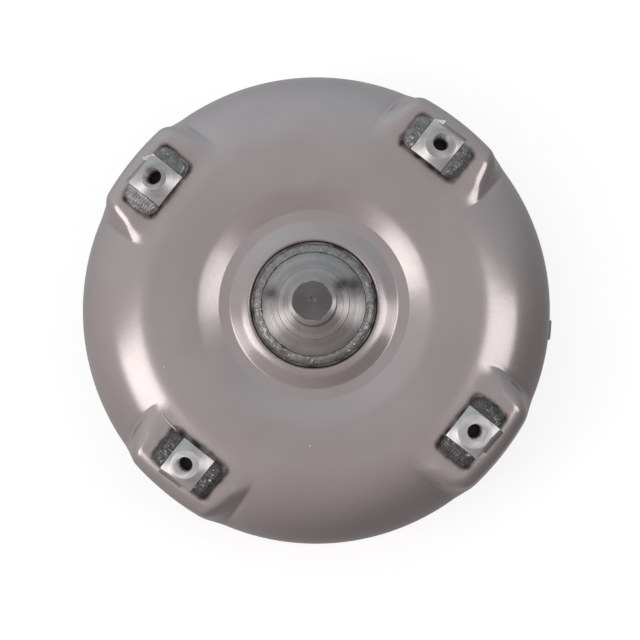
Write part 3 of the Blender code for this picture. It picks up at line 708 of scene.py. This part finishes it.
def pilot_hub():
    """Turned hub with its nose, and the ring weld round it with one molten lump."""
    profile = rounded([(0, PILOT_BACK_H, 0), (PILOT_R, PILOT_BACK_H, 0.8),
                       (PILOT_R, MOAT_H + 0.6, 0), (PILOT_BRIM_R, MOAT_H + 0.6, 0),
                       (PILOT_BRIM_R, PILOT_BRIM_H, 0.4), (21.0, 49.95, 0),
                       (20.6, 50.35, 0), (17.4, 51.85, 0), (17.2, 52.05, 0), (NOSE_R, 53.8, 0.6),
                       (NOSE_R, NOSE_H - 1.1, 0.2), (NOSE_FACE_R, NOSE_H, 0.3),
                       (2.4, NOSE_H, 0.2), (1.0, NOSE_H - 0.7, 0.2), (0, NOSE_H - 0.9, 0)], 5)
    hub = lathe("pilot", profile, even(192), None, 12.0)
    note_turning(hub)
    place(hub, "housing", "machined_steel", PILOT_STEEL, "pilot_hub")

    low = MOAT_H + GAP
    lip_r = PILOT_BRIM_R - 0.7
    section = closed_section([(PILOT_BRIM_R + GAP, low, 0), (PILOT_WELD_R, low, 0.4),
                              (PILOT_WELD_R, 43.2, 1.2), (34.0, 44.6, 1.2), (32.4, 45.5, 1.0),
                              (lip_r, 45.7, 0), (lip_r, low + 2, 0)], 5, 44)
    blob_turn = picture_angle(PILOT_BLOB_ANGLE) % (2 * PI)

    def lumps(r, z, t):
        flat = round_points(r, t, z)
        crest = np.clip((z - low - 1.0) / 2.5, 0, 1)
        rough = waves(flat, 1.5, 3, 2).reshape(r.shape)
        broad = waves(flat, 6.0, 4, 2).reshape(r.shape)
        grains = np.maximum(waves(flat, 1.9, 9).reshape(r.shape) - 0.28, 0) * 2.2
        edge = np.clip((r - 32.4) / 1.8, 0, 1)
        z = z + crest * (0.16 * rough + 0.28 * broad + grains * (0.25 + 0.75 * edge))
        r = r + edge * crest * (0.22 * rough + 0.45 * broad)
        blob = np.exp(-((t - blob_turn) * 15) ** 2 - ((r - PILOT_BLOB_R) / 1.7) ** 2)
        return np.minimum(r, PILOT_WELD_MAX_R), z + crest * 1.1 * blob

    weld = lathe("pilot_ring_weld", section, even(720), lumps, 60.0)
    place(weld, "housing", "weld_metal", PILOT_WELD, "pilot_weld")


def hull_object(name, points, at, bevel):
    """Convex block with rounded edges."""
    shape = bmesh.new()
    for p in points:
        shape.verts.new(p)
    bmesh.ops.convex_hull(shape, input=shape.verts)
    bmesh.ops.dissolve_limit(shape, angle_limit=0.01, verts=shape.verts, edges=shape.edges)
    bmesh.ops.recalc_face_normals(shape, faces=shape.faces)
    if bevel:
        bmesh.ops.bevel(shape, geom=shape.edges, offset=bevel, segments=3, affect="EDGES",
                        profile=0.5, clamp_overlap=True)
    shape.verts.index_update()
    points = [tuple(v.co) for v in shape.verts]
    faces = [tuple(v.index for v in f.verts) for f in shape.faces]
    shape.free()
    return to_object(name, moved(points, at), faces)


def lug_block(s):
    """Block corners; s is the side whose outer corner is cut off."""
    w, h, f = LUG_HALF_WIDTH, LUG_HEIGHT, LUG_FOOT
    return [(LUG_INNER, -w, f), (LUG_INNER, w, f), (LUG_INNER, -w, h), (LUG_INNER, w, h),
            (LUG_OUTER_TOP + 0.3, s * w, f), (LUG_OUTER_BASE - 0.6, s * 5.6, f),
            (LUG_OUTER_BASE, -s * w, f), (LUG_OUTER_TOP, s * w, h),
            (LUG_OUTER_TOP, -s * w, h)]


def lug_ledge(k):
    """Triangular ledge left at the cut corner, tilted its own way on each lug."""
    s, (near, inner, tip) = LUG_FACET_SIDE[k], LEDGE_HEIGHTS[k]
    x, w = LUG_OUTER_TOP, LUG_HALF_WIDTH
    plan = ((x - 2.5, s * w), (x - 2.5, s * 5.0), (x + 0.6, s * w), (x + 4.6, s * 5.0))
    tops = (near, inner, near, tip)
    return [(a, b, LUG_FOOT) for a, b in plan] + [(a, b, z) for (a, b), z in zip(plan, tops)]


def cylinder_grid(name, radii, heights, count, matrix):
    """Closed round solid; radii may vary over a (rows, count) grid."""
    rows = len(heights)
    radii = np.broadcast_to(np.asarray(radii, float).reshape(rows, -1), (rows, count))
    z = np.repeat(np.asarray(heights, float)[:, None], count, axis=1)
    points = round_points(radii, even(count), z)
    return to_object(name, moved(points, matrix), bar_faces(rows, count))


def lug_tap(at):
    """Cutter for a threaded hole with a countersunk mouth."""
    count = 72
    heights = np.arange(-4.0, LUG_HEIGHT + 1.5, THREAD_PITCH / 10)
    phase = (heights[:, None] / THREAD_PITCH - even(count)[None, :] / (2 * PI)) % 1
    tooth = np.clip(np.abs(2 * phase - 1) * 1.25 - 0.125, 0, 1)
    sink = COUNTERSINK_R + (heights[:, None] - LUG_HEIGHT)
    radii = np.maximum(THREAD_R + THREAD_DEPTH * tooth, sink)
    return cylinder_grid("tap", radii, heights, count, at)


def drive_lug(k):
    """Block turned to a cone with a flat face, tapped, with its ledge and beads, and a
    near-black disc down the hole that paints the shade in the bore.
    """
    at = lug_frame(k)
    block_at = at @ Matrix.Translation((*LUG_SHIFT[k], 0))
    lug = hull_object(f"lug_{k + 1}", lug_block(LUG_FACET_SIDE[k]), block_at, 0.3)
    face_r, bar_r = LUG_FACE_R[k], LUG_TURNING_R
    heights = [-2.0, LUG_HEIGHT - LUG_CONE_SLOPE * (bar_r - face_r), LUG_HEIGHT - 0.12,
               LUG_HEIGHT]
    radii = [bar_r, bar_r, face_r + 0.3, face_r]
    boolean(lug, cylinder_grid("turning", radii, heights, 128, at), "INTERSECT")
    top = Matrix.Translation((0, 0, LUG_HEIGHT))
    tap_at = at @ top @ Matrix.Rotation(math.radians(TAP_LEAN), 4, "Y") @ top.inverted()
    boolean(lug, lug_tap(tap_at), "DIFFERENCE")
    boolean(lug, hull_object("ledge", lug_ledge(k), block_at, 0), "UNION")
    finish_shading(lug.data, 25.0)
    note_turning(lug, at)
    place(lug, "housing", "machined_steel", lug_steel(k), f"drive_lug_{k + 1}")
    for side, letter in ((1, "a"), (-1, "b")):
        lug_bead(k, side, letter, block_at)
    # A near-black disc down each tapped hole: painted shade over the pad seen at the hole's bottom
    shade_disc = cylinder_grid(f"lug_hole_shade_disc_{k + 1}", [THREAD_R - 0.2] * 2, [0.3, 0.9], 32, tap_at)
    place(shade_disc, "housing", "plain_steel", HOLE_SHADE_BLACK)


def lug_bead(k, side, letter, at):
    """Fillet bead with crescent ripples, rounded at both ends."""
    seed = 10 * k + (3 if side > 0 else 7)
    section = closed_section([(0.0, 0.0, 0), (1.0, 0.0, 0.04), (0.97, 0.42, 0.3),
                              (0.62, 0.93, 0.4), (0.0, 1.0, 0)], 8, 52)
    stations = np.linspace(-1, 1, 120)
    loops = []
    for x in stations:
        end = math.sqrt(max(0.0, 1 - abs(x) ** 4.5))
        size = 0.12 + 0.88 * end
        y = section[:, 0] * BEAD_WIDTH * size
        z = section[:, 1] * BEAD_HEIGHT * (0.25 + 0.75 * end)
        loops.append(np.stack([np.full(len(y), BEAD_HALF_LENGTH * x + BEAD_SHIFT), y, z], 1))
    flat = np.array(loops).reshape(-1, 3)
    out = np.clip(flat[:, 1] / 2.0, 0, 1) * np.clip(flat[:, 2] / 1.2, 0, 1)
    lumps = waves(flat, 4.5, seed, 2) * 0.75 + waves(flat, 1.8, seed + 1) * 0.22
    crescent = flat[:, 0] + 0.06 * (flat[:, 1] - 4.2) ** 2
    phase = crescent * 2 * PI / 1.7 + 2.2 * waves(flat, 8.0, seed + 2)
    strength = BEAD_RIPPLE[2 * k + (side < 0)]
    ripple = strength * (np.abs(np.sin(phase / 2)) - 0.6)
    bulge = out * (lumps + ripple)
    radial = np.stack([np.zeros(len(flat)), flat[:, 1], flat[:, 2]], 1)
    radial /= np.maximum(np.linalg.norm(radial, axis=1, keepdims=True), 1e-6)
    flat = flat + radial * bulge[:, None]
    flat[:, 2] = np.where(flat[:, 2] < 0.1, LUG_FOOT, flat[:, 2])
    flat[:, 1] = side * (LUG_HALF_WIDTH + GAP + np.maximum(flat[:, 1], 0))
    faces = bar_faces(len(stations), len(section))
    bead = to_object(f"lug_bead_{k + 1}{letter}", moved(flat, at), faces, 60.0)
    metal = LOWER_LUG_WELD if k > 1 else MOLTEN_WELD if (k, side) == (1, 1) else WELD
    place(bead, "housing", "weld_metal", metal, f"lug_weld_{k + 1}{letter}")


def weld_whisker(k, at):
    """Stub of filler wire left standing on a bead."""
    way, sides = np.linspace(0, 1, 14), 10
    middle = np.stack([-12.0 - 2.0 * way ** 2, -17.0 - 12.0 * way, 2.2 - 2.2 * way ** 0.7], 1)
    turn = even(sides)
    radius = 0.46 - 0.16 * way
    points = middle[:, None, :] + radius[:, None, None] * np.stack(
        [np.cos(turn), np.zeros(sides), np.sin(turn)], 1)
    faces = bar_faces(len(way), sides)
    whisker = to_object(f"weld_whisker_{k + 1}", moved(points, at), faces, 60.0)
    place(whisker, "housing", "weld_metal", WIRE)


def balance_weight():
    """Curved plate on the rim."""
    angles = np.radians(np.linspace(WEIGHT_START, WEIGHT_END, 13))
    outer_r = RIM_R + WEIGHT_THICKNESS
    section = rounded([(RIM_R + GAP, WEIGHT_LOW, 0), (outer_r, WEIGHT_LOW, 0.5),
                       (outer_r, WEIGHT_HIGH, 0.5), (RIM_R + GAP, WEIGHT_HIGH, 0)], 4)
    loops = [[(r * math.cos(a), r * math.sin(a), z) for r, z in section] for a in angles]
    piece = to_object("rim_weight", loops, bar_faces(len(angles), len(section)), 30.0)
    place(piece, "housing", "plain_steel", DARK, "balance_weight")


# ---------------------------------------------------------------- impeller side

def ring_bead(amplitude, pitch, seed):
    """Change of shape that makes a plain ring a weld bead, for lathe."""
    def move(r, z, t):
        lumps = waves(round_points(r, t, z), 6.0, seed).reshape(r.shape) * amplitude
        ripple = 0.5 * amplitude * np.sin(t * 2 * PI * r / pitch)
        away_r, away_z = r - r.mean(0), z - z.mean(0)
        far = np.sqrt(away_r ** 2 + away_z ** 2)
        outside = np.clip((z.max() - z) / 3.0, 0, 1)
        push = outside * (lumps + ripple) / np.maximum(far, 0.5)
        return r + away_r * push, z + away_z * push
    return move


def impeller_shell():
    """Half torus with its flat floor, and the seam weld that joins it to the cover's skirt."""
    out = TORUS_A + SHEET
    low = SHELL_FLOOR_H - SHEET
    a_out = math.degrees(math.asin(low / out))
    a_in = math.degrees(math.asin(SHELL_FLOOR_H / TORUS_A))
    profile = arc((TORUS_R, 0), (out, out), -1.0, -180 - a_out, 60)
    profile += rounded([profile[-1] + (0,), (60.0, low, 3), (HUB_R + 0.4, low, 0)], 5)[1:]
    profile += [(HUB_R + 0.4, SHELL_FLOOR_H)]
    profile += arc((TORUS_R, 0), (TORUS_A, TORUS_A), -180 - a_in, -1.1, 40)
    shell = lathe("impeller_casing", profile, even(256), None, 50.0)
    place(shell, "housing", "pressed_steel", STEEL, "impeller_shell")

    high = SKIRT_H - GAP
    section = closed_section([(133.8, high, 0), (139.4, high, 0.6), (138.9, -17.4, 1.6),
                              (136.6, -19.4, 2.0), (131.6, -20.2, 0.3), (132.7, -17.2, 0)], 5, 26)
    seam = lathe("seam_bead", section, even(900), ring_bead(0.22, 2.6, 21), 60.0)
    place(seam, "housing", "weld_metal", WELD, "seam_weld")


def impeller_hub():
    """Drive tube with its flange, two slots cut across its end, and the bead round the flange."""
    top = SHELL_FLOOR_H - SHEET - GAP
    flange_low = top - 4.2
    end = -RIM_Z
    profile = rounded([(HUB_BORE_R, HUB_TOP_H, 0), (HUB_BORE_R, end + 1, 0),
                       (HUB_BORE_R + 1, end, 0.2), (HUB_R, end, 1.6), (HUB_R, flange_low, 1.2),
                       (HUB_FLANGE_R, flange_low, 0.8), (HUB_FLANGE_R, top, 0),
                       (HUB_R, top, 0), (HUB_R, HUB_TOP_H, 0.6), (HUB_BORE_R, HUB_TOP_H, 0)], 5)
    hub = lathe("drive_hub", profile[:-1], even(144), None, 30.0)
    half, far = DRIVE_SLOT_WIDTH / 2, 40.0
    outline = rounded([(-half, end - 2, 0), (-half, end + DRIVE_SLOT_DEPTH, 1.0),
                       (half, end + DRIVE_SLOT_DEPTH, 1.0), (half, end - 2, 0)], 5)
    loops = [[(x, y, z) for y, z in outline] for x in (-far, far)]
    boolean(hub, to_object("slot", loops, bar_faces(2, len(outline))), "DIFFERENCE")
    finish_shading(hub.data, 30.0)
    note_turning(hub)
    place(hub, "housing", "machined_steel", TURNED, "impeller_hub")

    inner_r = HUB_FLANGE_R + GAP
    section = closed_section([(inner_r, top, 0), (45.4, top, 0.5), (44.6, top - 1.9, 1.2),
                              (42.4, flange_low + 0.4, 1.0), (inner_r, flange_low + 0.5, 0)],
                             5, 24)
    bead = lathe("hub_bead", section, even(420), ring_bead(0.2, 2.2, 31), 60.0)
    place(bead, "housing", "weld_metal", WELD, "hub_weld")


# ---------------------------------------------------------------- stage

def picture_direction(angle, zenith):
    """Unit vector from the object: angle anticlockwise from the picture's right, zenith from
    straight up, in degrees."""
    a, b = picture_angle(angle), math.radians(zenith)
    return Vector((math.sin(b) * math.cos(a), math.sin(b) * math.sin(a), math.cos(b)))


def softbox(name, angle, zenith, distance, width, height, radiance):
    """Area light facing the object; height runs along the zenith direction."""
    light = bpy.data.lights.new(name, "AREA")
    light.shape, light.size, light.size_y = "RECTANGLE", width, height
    light.energy = radiance * PI * width * height
    obj = add_object(name, light)
    out = picture_direction(angle, zenith)
    side = Vector((0, 0, 1)).cross(out).normalized()
    up = out.cross(side)
    centre = Vector((0, 0, RIM_Z * MM)) + out * distance
    basis = Matrix((side, up, out)).transposed().to_4x4()
    obj.matrix_world = Matrix.Translation(centre) @ basis


def tint(tree, where, direction, stops):
    """Colour that runs along a direction through (place from -1 to 1, colour) stops."""
    dot = tree.nodes.new("ShaderNodeVectorMath")
    dot.operation = "DOT_PRODUCT"
    tree.links.new(where, dot.inputs[0])
    dot.inputs[1].default_value = direction
    colours = tree.nodes.new("ShaderNodeValToRGB")
    scale = tree.nodes.new("ShaderNodeMapRange")
    scale.inputs["From Min"].default_value, scale.inputs["From Max"].default_value = -1, 1
    tree.links.new(dot.outputs["Value"], scale.inputs[0])
    tree.links.new(scale.outputs[0], colours.inputs[0])
    elements = colours.color_ramp.elements
    for element, (position, colour) in zip(elements, (stops[0], stops[-1])):
        element.position, element.color = (position + 1) / 2, rgba(colour)
    for position, colour in stops[1:-1]:
        elements.new((position + 1) / 2).color = rgba(colour)
    return colours.outputs[0]


def world():
    """Room seen in the metal: warm grey, paler towards the picture's upper left, cooler at the
    picture's top. The camera itself sees a plain pale backdrop."""
    scene = bpy.context.scene
    scene.world = bpy.data.worlds.new("room")
    scene.world.use_nodes = True
    tree = scene.world.node_tree
    back = tree.nodes["Background"]
    where = tree.nodes.new("ShaderNodeTexCoord").outputs["Generated"]
    slant = (picture_direction(138, 90) * 0.19 + Vector((0, 0, 1)) * 0.08).normalized()
    tone = tint(tree, where, slant, [(at, (grey,) * 3) for at, grey in ROOM_GREY])
    cast = tint(tree, where, picture_direction(85, 90), ROOM_CAST)
    both = tree.nodes.new("ShaderNodeMix")
    both.data_type, both.blend_type = "RGBA", "MULTIPLY"
    both.inputs["Factor"].default_value = 1.0
    tree.links.new(tone, both.inputs["A"])
    tree.links.new(cast, both.inputs["B"])
    tree.links.new(both.outputs["Result"], back.inputs["Color"])
    backdrop = tree.nodes.new("ShaderNodeBackground")
    backdrop.inputs["Color"].default_value = rgba(BACKDROP)
    seen = tree.nodes.new("ShaderNodeLightPath").outputs["Is Camera Ray"]
    choose = tree.nodes.new("ShaderNodeMixShader")
    tree.links.new(seen, choose.inputs[0])
    tree.links.new(back.outputs[0], choose.inputs[1])
    tree.links.new(backdrop.outputs[0], choose.inputs[2])
    tree.links.new(choose.outputs[0], tree.nodes["World Output"].inputs["Surface"])


def stage():
    """Floor, room and lights. The floor is not mirrored in the metal."""
    bpy.ops.mesh.primitive_circle_add(vertices=96, radius=FLOOR_R, fill_type="NGON",
                                      location=(0, 0, -0.0005))
    floor = bpy.context.object
    floor.name = "floor"
    floor.data.materials.append(floor_paper())
    floor.visible_glossy = False
    world()
    for name, values in SOFTBOXES.items():
        softbox(name, *values)


def camera():
    """Looks at the rim plane's centre from above, a little off axis, then shifts its aim."""
    a, e, roll = (math.radians(v) for v in (CAMERA_AZIMUTH, CAMERA_ELEVATION, CAMERA_ROLL))
    back = Vector((math.sin(a) * math.cos(e), -math.cos(a) * math.cos(e), math.sin(e)))
    right = (-back).cross(Vector((0, 0, 1))).normalized()
    up = right.cross(-back)
    right, up = (right * math.cos(roll) + up * math.sin(roll),
                 up * math.cos(roll) - right * math.sin(roll))
    centre = Vector((0, 0, RIM_Z)) * MM
    eye = centre + back * CAMERA_DISTANCE * MM
    aim = centre + (right * AIM_RIGHT + up * AIM_UP) * MM
    back = (eye - aim).normalized()
    right = up.cross(back).normalized()
    up = back.cross(right)
    data = bpy.data.cameras.new("camera")
    data.lens, data.sensor_width, data.clip_start = CAMERA_LENS, CAMERA_SENSOR, CAMERA_NEAR
    obj = add_object("camera", data)
    obj.matrix_world = Matrix.Translation(eye) @ Matrix((right, up, back)).transposed().to_4x4()
    bpy.context.scene.camera = obj


def carried_over():
    """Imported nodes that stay: each gets the material of its slot."""
    slots = {s["node"]: s["material_slot"] for s in frame["record"]["subparts"]}
    for name, obj in frame["nodes"].items():
        obj.data.materials.clear()
        obj.data.materials.append(SLOT_MATERIALS[slots[name]])


camera()
carried_over()
front_cover()
pilot_hub()
for k in range(LUG_COUNT):
    drive_lug(k)
weld_whisker(WHISKER_LUG, lug_frame(WHISKER_LUG))
balance_weight()
impeller_shell()
impeller_hub()
stage()
bpy.context.scene.view_settings.view_transform = "Standard"
